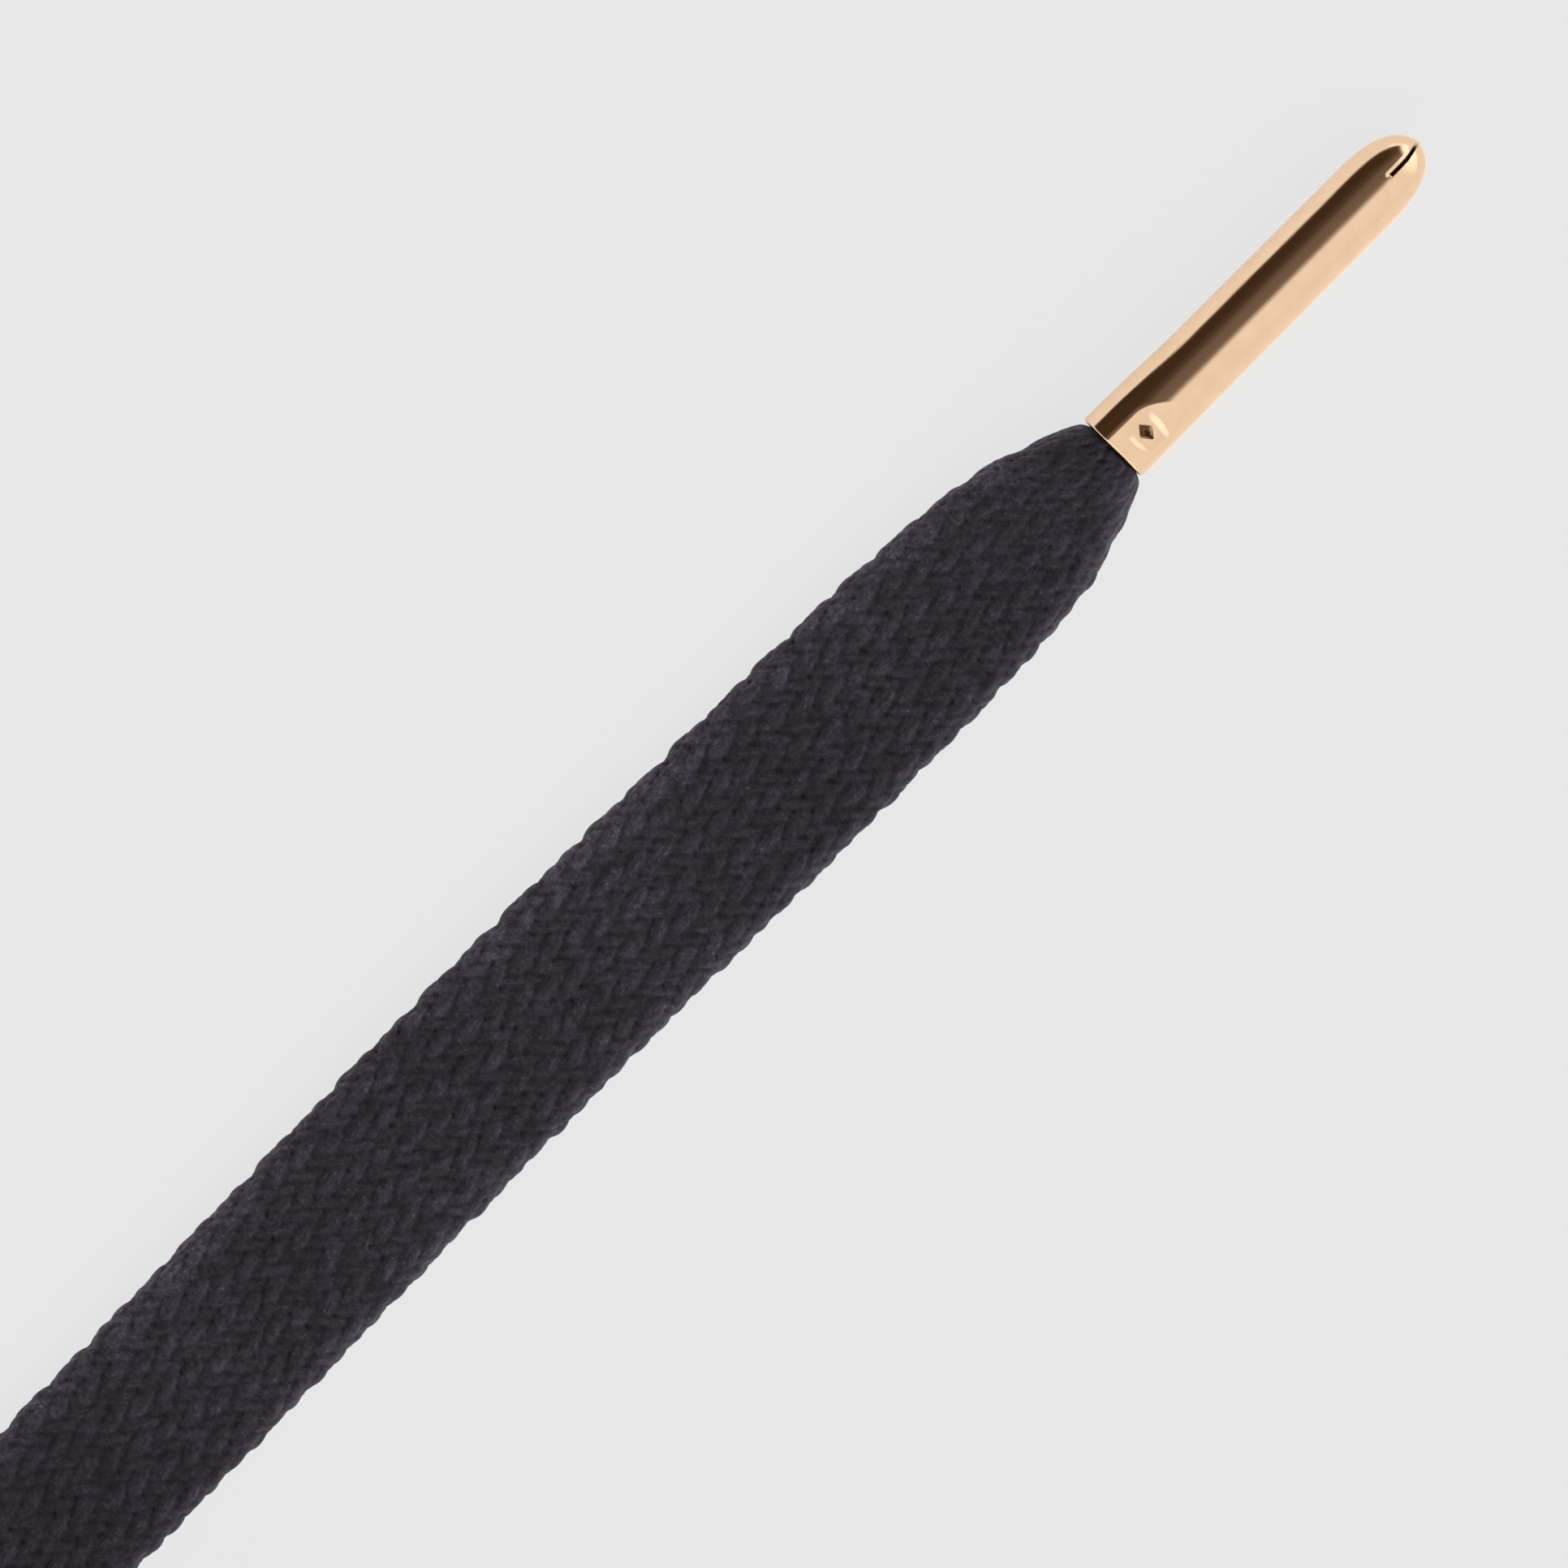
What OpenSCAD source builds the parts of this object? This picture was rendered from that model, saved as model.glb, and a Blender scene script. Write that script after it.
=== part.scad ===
// Flat braided lace with a crimped metal tip on each end, about 1.3 m from tip to tip.
// One end lies straight along X. The rest is folded into a tied hank that lies behind it.
// The origin is the centre of the front tip's mouth, and +X points out of that tip's nose.

/* [Lace] */
// Width of the flat lace
lace_w = 10; // [9:0.5:10.5]
// Thickness of the flat lace
lace_t = 2; // [1.6:0.1:2.1]
// Length over which the gathered end spreads to most of its width
spread_l = 5; // [3:0.5:6]

/* [Metal tips] */
// Outside diameter of a tip
tip_d = 4.2; // [4:0.1:4.6]
// Overall length of a tip
tip_l = 22.7; // [20:0.1:26]
// Length of the rounded nose
nose_l = 2.9; // [2.4:0.1:4]
// Wall thickness of the metal
wall = 0.4; // [0.3:0.05:0.5]
// Length of lace held inside a tip
held_l = 14; // [8:1:16]

/* [Crimp and nose slit] */
// Distance of the crimp dimple from the mouth
dimple_x = 1.86; // [1.5:0.1:4]
// Angle of the dimple round the tip, from straight up towards -Y
dimple_angle = 16.5; // [0:0.5:30]
// Radius of the ball that presses the dimple
dimple_r = 1.25; // [1:0.05:1.5]
// Depth of the dimple
dimple_depth = 0.45; // [0.2:0.05:0.5]
// Length of the slit in the nose
slit_l = 2.1; // [1.5:0.1:2.5]
// Width of the slit
slit_w = 0.2; // [0.15:0.05:0.3]
// Sideways place of the slit
slit_y = -0.2; // [-0.3:0.05:0.3]

/* [Stored hank] */
// Distance from the front tip's mouth to the hank
hank_gap = 87; // [86:1:100]
// Distance from the tie to the centre of each end loop
loop_x = 48; // [48:0.5:52]
// Bend radius of the innermost fold
fold_r = 24.5; // [24:0.5:26]
// Spacing of the turns round the end loops
loop_pitch = 3.6; // [3.5:0.1:3.8]
// Spacing of the passes under the tie
tie_pitch = 2.1; // [2:0.05:2.2]
// Width of the tie
tie_w = 8; // [6:1:10]
// Thickness of the tie
tie_t = 0.4; // [0.3:0.1:0.5]

/* [Hidden] */
$fn = 96;

tip_r = tip_d / 2;
bore_r = tip_r - wall;
floor_z = -tip_r;
overlap = 0.01;
dimple_centre = tip_r + dimple_r - dimple_depth;

// The gathered lace at a tip's mouth: half its width, just inside the rim, and half its thickness
rim_gap = 0.1;
mouth_a = tip_r - rim_gap;
mouth_b = bore_r;

// The hank has 3 turns round its rear loop and 2 round its front loop
outer_r = fold_r + 2 * loop_pitch;
entry_r = outer_r + tie_pitch;
half_t = lace_t / 2;
pass_1 = 2.5 * tie_pitch;
pass_2 = 1.5 * tie_pitch;
pass_3 = 0.5 * tie_pitch;
tie_x = -(hank_gap + loop_x + outer_r + half_t);
hank_y = -entry_r;

// The stack of passes under the tie, which squeezes it, and where the passes part on each side of it
tie_squeeze = 0.2;
core_round = 1;
core_past = 1;
eye_start = tie_w;
core_w = 2 * pass_1 + lace_t - tie_squeeze;
core_h = lace_w - 2 * tie_t;

// Where the run and the tail turn from lying flat to standing on edge, from a tip's mouth
run_flat_to = 84;
run_edge_from = 119;
tail_flat_to = 13;
tail_edge_from = 37;
tail_end = 47;

// The straight run's route: distance behind the front tip, and sideways place
run_route = [[0, 0], [1, 0], [2, 0], [3.5, 0], [5.5, 0.1], [8, 0.1], [11, 0.1], [15, 0.2], [20, 0.3],
             [28, 0.3], [36, 0.5], [48, 0.5], [60, 0.3], [72, 0.1], [84, 0], [90, 0], [96, 0], [102, 0],
             [108, 0], [114, 0], [119, 0], [-tie_x - loop_x, 0]];
// The tail's route: distance from the rear tip's mouth, and sideways place
tail_route = [[tail_end - eye_start, 0], [37, 0], [33, 0], [29, 0], [25, 0], [21, 0], [17, 0],
              [13, 0], [10, 0], [7, 0], [5, 0], [3, 0], [1.5, 0], [0, 0]];

// Half the lace's width and half its thickness at a distance from a tip's mouth
function half_width(d) = lace_w / 2 - (lace_w / 2 - mouth_a) * exp(-d / spread_l);
function half_height(d) = half_t - (half_t - mouth_b) * exp(-d / spread_l);

// Smooth step from 0 to 1
function eased(s) = let(c = max(0, min(1, s))) c * c * (3 - 2 * c);
function twist(d, flat_to, edge_from) = 90 * eased((d - flat_to) / (edge_from - flat_to));

// Height of the centreline: the lace rests on the floor, except at the tip, where it leaves the bore
function rest_z(d, turn) = floor_z + half_height(d) + (half_width(d) - half_height(d)) * sin(turn)
    + (tip_r - mouth_b) * exp(-d / spread_l);

// One ring of the tube: a flat section with round edges, of half sizes a and b, turned on edge by turn
function ring(x, y, z, a, b, turn) = [
    for (side = [0, 1])
        for (i = [0 : 4])
            let (t = side * 180 - 90 + 45 * i,
                 u = (side == 0 ? 1 : -1) * (a - b) + b * cos(t),
                 v = b * sin(t))
            [x, y + u * cos(turn) - v * sin(turn), z + u * sin(turn) + v * cos(turn)]];

module swept(rings) {
    n = len(rings[0]);
    last = len(rings) - 1;
    points = [for (r = rings) each r];
    sides = [for (k = [0 : last - 1], i = [0 : n - 1])
        let (j = (i + 1) % n)
        each [[k * n + i, k * n + j, (k + 1) * n + j], [k * n + i, (k + 1) * n + j, (k + 1) * n + i]]];
    polyhedron(points, concat(sides, [[for (i = [n - 1 : -1 : 0]) i]], [[for (i = [0 : n - 1]) last * n + i]]));
}

// Radius of the arc at the waist that joins a pass at half width w to an end loop of radius r
function waist_r(r, w) = (loop_x * loop_x + w * w - r * r) / (2 * (r - w));

function arc(centre, r, from, to, n) = [
    for (i = [0 : n]) let (t = from + (to - from) * i / n) centre + r * [cos(t), sin(t)]];
function without_first(points) = [for (i = [1 : len(points) - 1]) points[i]];
function mirrored(points) = [for (i = [len(points) - 1 : -1 : 0]) [points[i][0], -points[i][1]]];

// One side of a turn, from the distance start past the tie, along the waist's arc at half width w and
// round the end loop of radius r until the angle stop
function turn_side(r, w, start, stop) =
    let (s = waist_r(r, w), a = atan2(w + s, loop_x))
    concat(arc([0, w + s], s, asin(start / s) - 90, -a, 8),
           without_first(arc([loop_x, 0], r, 180 - a, stop, 24)));

// The outline of a turn with half width above and below at the waist
function turn(r, w_above, w_below, start) =
    concat(turn_side(r, w_above, start, 0), without_first(mirrored(turn_side(r, w_below, start, 0))));

module rounded(w, h, r) {
    square([w - 2 * r, h], center = true);
    square([w, h - 2 * r], center = true);
    for (x = [-1, 1], y = [-1, 1])
        translate([x * (w / 2 - r), y * (h / 2 - r)]) circle(r, $fn = 48);
}

// Places a child, drawn about the tie in the plane of the hank, on the floor
module at_hank() translate([tie_x, hank_y, floor_z]) children();

// Places a tip, drawn with its mouth at the origin and its nose along +X, at the tail's end
module at_rear_tip() translate([tie_x + tail_end, hank_y - pass_3, 0]) children();

// Turns a profile that is drawn as [radius, distance] into a solid along +X
module turned() rotate([0, 90, 0]) rotate_extrude() children();

// Outline of the tip: a straight wall and a nose rounded by one arc on each side
module tip_profile(r, l, nose) {
    arc_r = (r * r + nose * nose) / (2 * r);
    square([r, l - nose]);
    intersection() {
        translate([r - arc_r, l - nose]) circle(arc_r, $fn = 180);
        translate([0, l - nose - overlap]) square([r, nose + overlap]);
    }
}

module at_dimple() rotate([dimple_angle, 0, 0]) translate([dimple_x, 0, dimple_centre]) children();

module aglet() difference() {
    turned() tip_profile(tip_r, tip_l, nose_l);
    difference() {
        turned() tip_profile(bore_r, tip_l - 2 * wall, nose_l - wall);
        at_dimple() sphere(dimple_r + wall);
    }
    at_dimple() sphere(dimple_r);
    translate([tip_l - slit_l, slit_y - slit_w / 2, 0]) cube([2 * slit_l, slit_w, tip_d]);
}

// The end of the braid, gathered to a fused round plug that fills the tip up to its length
module lace_end() difference() {
    turned() square([bore_r, held_l]);
    at_dimple() sphere(dimple_r + wall);
}

module front_aglet() color([0.86, 0.70, 0.52]) aglet();

module rear_aglet() color([0.86, 0.70, 0.52]) at_rear_tip() aglet();

module front_lace_end() color([0.19, 0.17, 0.20]) lace_end();

module rear_lace_end() color([0.19, 0.17, 0.20]) at_rear_tip() lace_end();

module lace_run() color([0.19, 0.17, 0.20]) swept([
    for (p = run_route)
        let (turn = twist(p[0], run_flat_to, run_edge_from))
        ring(-p[0], p[1], rest_z(p[0], turn), half_width(p[0]), half_height(p[0]), turn)]);

module lace_tail() color([0.19, 0.17, 0.20]) at_rear_tip() swept([
    for (p = tail_route)
        let (turn = twist(p[0], tail_flat_to, tail_edge_from))
        ring(-p[0], p[1], rest_z(p[0], turn), half_width(p[0]), half_height(p[0]), turn)]);

// The hank: both bundles of turns on edge, and the flat stack of passes under the tie
module lace_hank() color([0.17, 0.15, 0.18]) at_hank() {
    linear_extrude(lace_w) difference() {
        polygon(concat(turn_side(entry_r + half_t, pass_1 + half_t, tie_w / 2, 90),
                       arc([loop_x, 0], outer_r + half_t, 90, 0, 16),
                       without_first(mirrored(turn_side(outer_r + half_t, pass_1 + half_t, tie_w / 2, 0)))));
        polygon(turn(outer_r - loop_pitch - half_t, pass_3 - half_t, pass_2 - half_t, eye_start));
    }
    mirror([1, 0]) linear_extrude(lace_w) difference() {
        polygon(turn(outer_r + half_t, pass_1 + half_t, pass_1 + half_t, tie_w / 2));
        polygon(turn(fold_r - half_t, pass_3 - half_t, pass_3 - half_t, eye_start));
    }
    translate([-tie_w / 2 - core_past, 0, tie_t + core_h / 2]) rotate([90, 0, 90])
        linear_extrude(tie_w + 2 * core_past) rounded(core_w, core_h, core_round);
}

module hank_tie() color([0.80, 0.72, 0.60]) at_hank()
    translate([-tie_w / 2, 0, tie_t + core_h / 2]) rotate([90, 0, 90])
        linear_extrude(tie_w) difference() {
            rounded(core_w + 2 * tie_t, core_h + 2 * tie_t, core_round + tie_t);
            rounded(core_w, core_h, core_round);
        }

front_aglet();
front_lace_end();
lace_run();
lace_hank();
lace_tail();
rear_lace_end();
rear_aglet();
hank_tie();
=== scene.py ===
import math

import bpy
import numpy as np
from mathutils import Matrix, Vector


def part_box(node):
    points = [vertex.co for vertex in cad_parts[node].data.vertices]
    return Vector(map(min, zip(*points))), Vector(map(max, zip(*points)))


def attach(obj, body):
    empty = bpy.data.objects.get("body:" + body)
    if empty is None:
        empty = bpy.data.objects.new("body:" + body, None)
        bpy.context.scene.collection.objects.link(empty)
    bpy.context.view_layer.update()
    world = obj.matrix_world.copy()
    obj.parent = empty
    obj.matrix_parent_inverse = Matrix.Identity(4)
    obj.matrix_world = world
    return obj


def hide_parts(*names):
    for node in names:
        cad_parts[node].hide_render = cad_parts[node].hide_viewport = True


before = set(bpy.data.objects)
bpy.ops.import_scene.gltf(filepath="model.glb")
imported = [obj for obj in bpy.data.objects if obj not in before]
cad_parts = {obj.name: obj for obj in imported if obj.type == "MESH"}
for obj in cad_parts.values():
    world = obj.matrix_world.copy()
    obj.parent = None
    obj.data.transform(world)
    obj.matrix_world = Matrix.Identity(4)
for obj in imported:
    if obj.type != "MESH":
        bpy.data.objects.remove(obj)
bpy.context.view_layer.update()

MM = 0.001


def box_mm(node):
    """The lowest and highest corners of a CAD node, in millimetres."""
    low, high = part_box(node)
    return np.array(low) / MM, np.array(high) / MM


# ---------------------------------------------------------------- sizes, the same as the CAD source's
FRONT, REAR, TIE, HANK = (box_mm(n) for n in ("front_aglet", "rear_aglet", "hank_tie", "lace_hank"))
FLOOR = FRONT[0][2]
TIP_R = -FLOOR             # the tips' radius at the mouth
TIP_L = FRONT[1][0]
NOSE_L = 2.9               # the CAD's nose; its straight wall ends there
WALL = 0.4
HELD_L = 14.0              # how far the lace goes into each tip

LACE_W = HANK[1][2] - HANK[0][2]
LACE_T = 2.0
SPREAD_L = 5.0             # how slowly the lace gets from its mouth size to its full size
MOUTH_A, MOUTH_B = TIP_R, TIP_R - WALL      # its half width and half thickness at a mouth
WAIST, WAIST_AT, WAIST_L = 0.17, 3.0, 1.5   # a slight hollow in the edges where the lace spreads
TUCK_L, TUCK, TUCK_POWER = 0.4, 0.17, 2.5   # the lace rounds in to the bore: length, share of its size, curve

LOOP_X = 48.0              # from the tie to the middle of each end's loops
FOLD_R = 24.5              # the innermost loop
LOOP_PITCH = 3.6           # between loops
TIE_PITCH = 2.1            # between the passes in the tie
OUTER_R = FOLD_R + 2 * LOOP_PITCH
ENTRY_R = OUTER_R + TIE_PITCH               # the arc by which the run comes in
TIE_X = (TIE[0][0] + TIE[1][0]) / 2
TIE_HALF = (TIE[1][0] - TIE[0][0]) / 2
HANK_Y = -ENTRY_R
REAR_X = REAR[0][0]
REAR_Y = (REAR[0][1] + REAR[1][1]) / 2
# Where the lace starts to turn on edge and where it stands on it, behind the front tip and the rear one
RUN_FLAT_TO, RUN_EDGE_FROM = 84.0, 119.0
TAIL_FLAT_TO, TAIL_EDGE_FROM = 13.0, 37.0

# The straight run's route: distance behind the front tip, and sideways place
RUN_ROUTE = [(0, 0), (1, 0), (2, 0), (3.5, 0), (5.5, 0.1), (8, 0.1), (11, 0.1), (15, 0.2), (20, 0.3),
             (28, 0.3), (36, 0.5), (48, 0.5), (60, 0.3), (72, 0.1), (84, 0), (90, 0), (96, 0), (102, 0),
             (108, 0), (114, 0), (119, 0), (-TIE_X - LOOP_X, 0)]


# ---------------------------------------------------------------- camera
VIEW_CENTRE = (-24.6, -0.1)
VIEW_WIDTH = 82.2
VIEW_TURN = -45.2          # degrees
VIEW_DISTANCE = 1500.0     # far, because the photo shows no perspective


def make_camera():
    data = bpy.data.cameras.new("camera")
    data.sensor_width = 36.0
    data.lens = 36.0 * VIEW_DISTANCE / VIEW_WIDTH
    data.clip_start, data.clip_end = 0.05, 20.0
    camera = bpy.data.objects.new("camera", data)
    camera.location = (VIEW_CENTRE[0] * MM, VIEW_CENTRE[1] * MM, VIEW_DISTANCE * MM)
    camera.rotation_euler = (0, 0, math.radians(VIEW_TURN))
    bpy.context.scene.collection.objects.link(camera)
    bpy.context.scene.camera = camera


make_camera()


# ---------------------------------------------------------------- small helpers
def smooth_step(s):
    c = np.clip(s, 0, 1)
    return c * c * (3 - 2 * c)


def grid_mesh(name, points):
    """A mesh from points[row, column]; the columns close on themselves, and each end is one n-gon cap."""
    rows, cols = points.shape[:2]
    index = np.arange(rows * cols).reshape(rows, cols)
    a, b = index[:-1], index[1:]
    quads = np.stack([a, np.roll(a, -1, 1), np.roll(b, -1, 1), b], -1).reshape(-1, 4)
    caps = [index[0][::-1], index[-1]]
    loops = np.concatenate([quads.ravel()] + caps)
    totals = np.concatenate([np.full(len(quads), 4), [cols, cols]])
    mesh = bpy.data.meshes.new(name)
    mesh.vertices.add(rows * cols)
    mesh.vertices.foreach_set("co", (points.reshape(-1) * MM).astype(np.float32))
    mesh.loops.add(len(loops))
    mesh.loops.foreach_set("vertex_index", loops.astype(np.int32))
    mesh.polygons.add(len(totals))
    mesh.polygons.foreach_set("loop_start", np.concatenate([[0], np.cumsum(totals)[:-1]]).astype(np.int32))
    mesh.polygons.foreach_set("use_smooth", np.ones(len(totals), bool))
    mesh.update(calc_edges=True)
    mesh.validate()
    return mesh


def add_object(name, mesh, material):
    piece = bpy.data.objects.new(name, mesh)
    bpy.context.scene.collection.objects.link(piece)
    mesh.materials.append(material)
    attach(piece, "root")
    return piece


# ---------------------------------------------------------------- the lace's route
ARC_STEP = 0.5


def tucked(d):
    """Share of its size that the lace keeps at the distance d behind a mouth."""
    return 1 - TUCK * np.clip(1 - d / TUCK_L, 0, 1) ** TUCK_POWER


def half_width(d):
    spread = LACE_W / 2 - (LACE_W / 2 - MOUTH_A) * np.exp(-d / SPREAD_L)
    return (spread - WAIST * np.exp(-((d - WAIST_AT) / WAIST_L) ** 2)) * tucked(d)


def half_height(d):
    return (LACE_T / 2 - (LACE_T / 2 - MOUTH_B) * np.exp(-d / SPREAD_L)) * tucked(d)


def waist_r(r, w):
    """Radius of the waist's arc that meets a loop of radius r, for a pass at w from the hank's middle."""
    return (LOOP_X ** 2 + w ** 2 - r ** 2) / (2 * (r - w))


def arc(centre, r, start, stop):
    """Points along an arc, from the angle start to stop in radians."""
    n = max(2, int(abs(stop - start) * r / ARC_STEP))
    t = np.linspace(start, stop, n + 1)
    return np.stack([centre[0] + r * np.cos(t), centre[1] + r * np.sin(t)], -1)


def loop_side(r, w, stop=0.0):
    """From the tie to an end loop's far point: the waist's arc at half width w, then the loop of radius r."""
    s = waist_r(r, w)
    a = math.atan2(w + s, LOOP_X)
    return np.concatenate([arc((0, w + s), s, -math.pi / 2, -a), arc((LOOP_X, 0), r, math.pi - a, stop)[1:]])


def hank_line():
    """The folded length in the hank's plane, about the tie: 3 turns round the rear loop, 2 at the front."""
    passes = [(k + 0.5) * TIE_PITCH for k in (2, 1, 0)]
    radii = [OUTER_R, OUTER_R - LOOP_PITCH, FOLD_R]
    line = [loop_side(ENTRY_R, passes[0], math.pi / 2)[::-1]]
    for turn in range(3):
        out = loop_side(radii[turn], passes[turn]) * (-1, 1)
        line += [out[1:], (out * (1, -1))[::-1][1:]]
        if turn < 2:
            away = loop_side(radii[turn], passes[turn]) * (1, -1)
            back = loop_side(radii[turn], passes[turn + 1])
            line += [away[1:], back[::-1][1:]]
    return np.concatenate(line)


ROUTE_STEP = 0.5
SOFTEN = 12                # points to each side that the run's sideways place is averaged over
STRAIGHT_L = 10.0          # the run leaves the tip straight, and has its own sideways place from here


def plane_route():
    """The centreline seen from above, from the lace's end in the front tip to its end in the rear one."""
    known = np.array(RUN_ROUTE)
    d = np.arange(-HELD_L, -TIE_X - LOOP_X, ROUTE_STEP)
    side = np.interp(d, known[:, 0], known[:, 1])
    window = 2 * SOFTEN + 1
    side = np.convolve(np.pad(side, SOFTEN, mode="edge"), np.ones(window) / window, mode="valid")
    run = np.stack([-d, side * smooth_step(d / STRAIGHT_L)], -1)
    hank = hank_line() + (TIE_X, HANK_Y)
    x = np.arange(TIE_X + ROUTE_STEP, REAR_X + HELD_L, ROUTE_STEP)
    tail = np.stack([x, np.full_like(x, REAR_Y)], -1)
    return np.concatenate([run, hank, tail])


def along(line):
    return np.concatenate([[0], np.cumsum(np.linalg.norm(np.diff(line, axis=0), axis=1))])


FINE_STEP, COARSE_STEP = 0.14, 0.36         # between rings, in the shown length and in the put-away length
END_STEP, END_ROOM = 1.0, 1.0               # between rings in a tip, and how near its mouth they get finer
SHOWN_L = 88.0
YARN_PROUD = 0.05          # how far the highest yarn stands over the section's outline
EDGE_PROUD = 0.18          # the relief is pressed in from here, so the edge's mean stays at half the width
PROUD_FROM = 4.0           # both have their full size from here
SINK_L = 3.5               # the lace comes down from the tip's axis to the floor over this length
HELD_R = TIP_R - WALL - 0.05                # radius of the round end inside a tip
HELD_RAMP = 0.5            # length over which it turns round there
TIE_REACH, TIE_NEAR = 2.5, 8.0              # how far past the paper its squeeze goes, and across the passes
SQUEEZE_Y, SQUEEZE_W, SQUEEZE_T = 0.045, 0.125, 0.14    # what the tie takes off spread, width, thickness
TIE_TOUCH = 0.01           # the squeeze from which the passes are held at the hank's height


def make_route():
    """Everything about the lace at each ring: place, directions, half sizes and distances from the tips."""
    line = plane_route()
    s = along(line)
    total = s[-1]
    stations = np.concatenate([
        np.arange(0, HELD_L - END_ROOM, END_STEP),
        np.arange(HELD_L - END_ROOM, HELD_L + END_ROOM, FINE_STEP / 2),
        np.arange(HELD_L + END_ROOM, HELD_L + SHOWN_L, FINE_STEP),
        np.arange(HELD_L + SHOWN_L, total - HELD_L + END_ROOM, COARSE_STEP),
        np.arange(total - HELD_L + END_ROOM, total + END_STEP / 2, END_STEP)])
    x, y = (np.interp(stations, s, line[:, k]) for k in (0, 1))
    front, rear = stations - HELD_L, total - HELD_L - stations
    near = np.maximum(np.minimum(front, rear), 0)
    proud = smooth_step(near / PROUD_FROM)
    a, b = half_width(near) + EDGE_PROUD * proud, half_height(near)
    turn_front = smooth_step((front - RUN_FLAT_TO) / (RUN_EDGE_FROM - RUN_FLAT_TO))
    turn_rear = smooth_step((rear - TAIL_FLAT_TO) / (TAIL_EDGE_FROM - TAIL_FLAT_TO))
    turn = math.pi / 2 * np.minimum(turn_front, turn_rear)
    in_tie = np.exp(-(((x - TIE_X) / (TIE_HALF + TIE_REACH)) ** 6)) * (abs(y - HANK_Y) < TIE_NEAR)
    y = y - SQUEEZE_Y * in_tie * (y - HANK_Y)
    a, b = a * (1 - SQUEEZE_W * in_tie), b * (1 - SQUEEZE_T * in_tie)
    inside = smooth_step(-np.minimum(front, rear) / HELD_RAMP)
    a, b = a * (1 - inside) + HELD_R * inside, b * (1 - inside) + HELD_R * inside
    z = FLOOR + YARN_PROUD * proud + b + (a - b) * np.sin(turn) + (TIP_R - b) * np.exp(-near / SINK_L)
    z = np.where(in_tie > TIE_TOUCH, np.maximum(z, FLOOR + LACE_W / 2 * in_tie), z)
    return {"s": stations, "x": x, "y": y, "z": z, "a": a, "b": b, "turn": turn,
            "front": front, "rear": rear, "total": total}


def frames(r):
    """Each ring's place, and its unit vectors across the lace's width and out of its face."""
    place = np.stack([r["x"], r["y"], r["z"]], -1)
    flat = np.gradient(place[:, :2], r["s"], axis=0)
    flat = np.concatenate([flat, np.zeros((len(flat), 1))], 1)
    flat /= np.linalg.norm(flat, axis=1)[:, None]
    left = np.stack([-flat[:, 1], flat[:, 0], np.zeros(len(flat))], -1)
    hand = np.where(r["front"] < r["total"] / 2, -1.0, 1.0)[:, None]
    turn = r["turn"][:, None]
    width = np.cos(turn) * left * hand + np.sin(turn) * np.array([0, 0, 1.0])
    face = np.cross(width, flat)
    return place, width, face


# ---------------------------------------------------------------- the braid
AROUND = 128               # points round each ring
REPEATS = 12               # of the pattern, the whole way round
STRAND_X = 0.764           # length of one crossing along the lace
STRAND_P, STRAND_Q = 0.722, 0.233   # sideways step of the two families of yarn over one crossing
ROUND = REPEATS * 2 * (STRAND_P + STRAND_Q)   # the whole way round, in the braid's own measure
FLOAT_SHARP = 1.5          # how quickly a yarn changes from over to under
UNEVEN, ROAM_X, ROAM_Y = 0.35, 0.14, 0.13   # how unevenly the yarns stand out, and how far they stray
YARN_NARROW = 1.96         # the gap between yarns: 2 leaves a yarn exactly as wide as its place
FLOAT_RISE = 0.10          # how far a yarn rises and falls
CROWN_P, CROWN_Q, SINK_P = 0.17, 0.21, 0.02   # how round each family's yarns are, and how much lower P lies
MERGE = 50.0               # how sharply two crossing yarns meet
ACROSS = 0.9               # a yarn's width, as its fibres measure it
FAMILY_GAP = 1000          # keeps the numbers of the two families' yarns apart
BRAID_MEAN = 0.31          # the surface's mean height, which lies on the section's outline


def section(a, b):
    """Flat sections with round edges: for each ring, points across (u), out of the face (v), the outward
    normal, and the distance round as a share of the whole."""
    t = np.linspace(0, 1, AROUND, endpoint=False)
    flat_l = 2 * (a - b)
    round_l = math.pi * b
    whole = 2 * (flat_l + round_l)
    d = t[None, :] * whole[:, None]
    flat_l, round_l, a, b = (q[:, None] for q in (flat_l, round_l, a, b))
    top = d < flat_l
    left = (d >= flat_l) & (d < flat_l + round_l)
    bottom = (d >= flat_l + round_l) & (d < 2 * flat_l + round_l)
    ang_left = math.pi / 2 + (d - flat_l) / b
    ang_right = -math.pi / 2 + (d - 2 * flat_l - round_l) / b
    u = np.where(top, (a - b) - d, 0) + np.where(left, -(a - b) + b * np.cos(ang_left), 0)
    u = u + np.where(bottom, -(a - b) + (d - flat_l - round_l), 0)
    right = ~(top | left | bottom)
    u = u + np.where(right, (a - b) + b * np.cos(ang_right), 0)
    v = np.where(top, b, 0) + np.where(left, b * np.sin(ang_left), 0) + np.where(bottom, -b, 0)
    v = v + np.where(right, b * np.sin(ang_right), 0)
    nu = np.where(left, np.cos(ang_left), 0) + np.where(right, np.cos(ang_right), 0)
    nv = np.where(top, 1, 0) + np.where(left, np.sin(ang_left), 0) + np.where(bottom, -1, 0)
    nv = nv + np.where(right, np.sin(ang_right), 0)
    return u, v, nu, nv, t, whole


def float_wave(t):
    """A yarn's height over two crossings and under two, from -1 to 1."""
    return np.tanh(FLOAT_SHARP * np.cos(2 * math.pi * (t - 0.5) / 4)) / math.tanh(FLOAT_SHARP)


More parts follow.
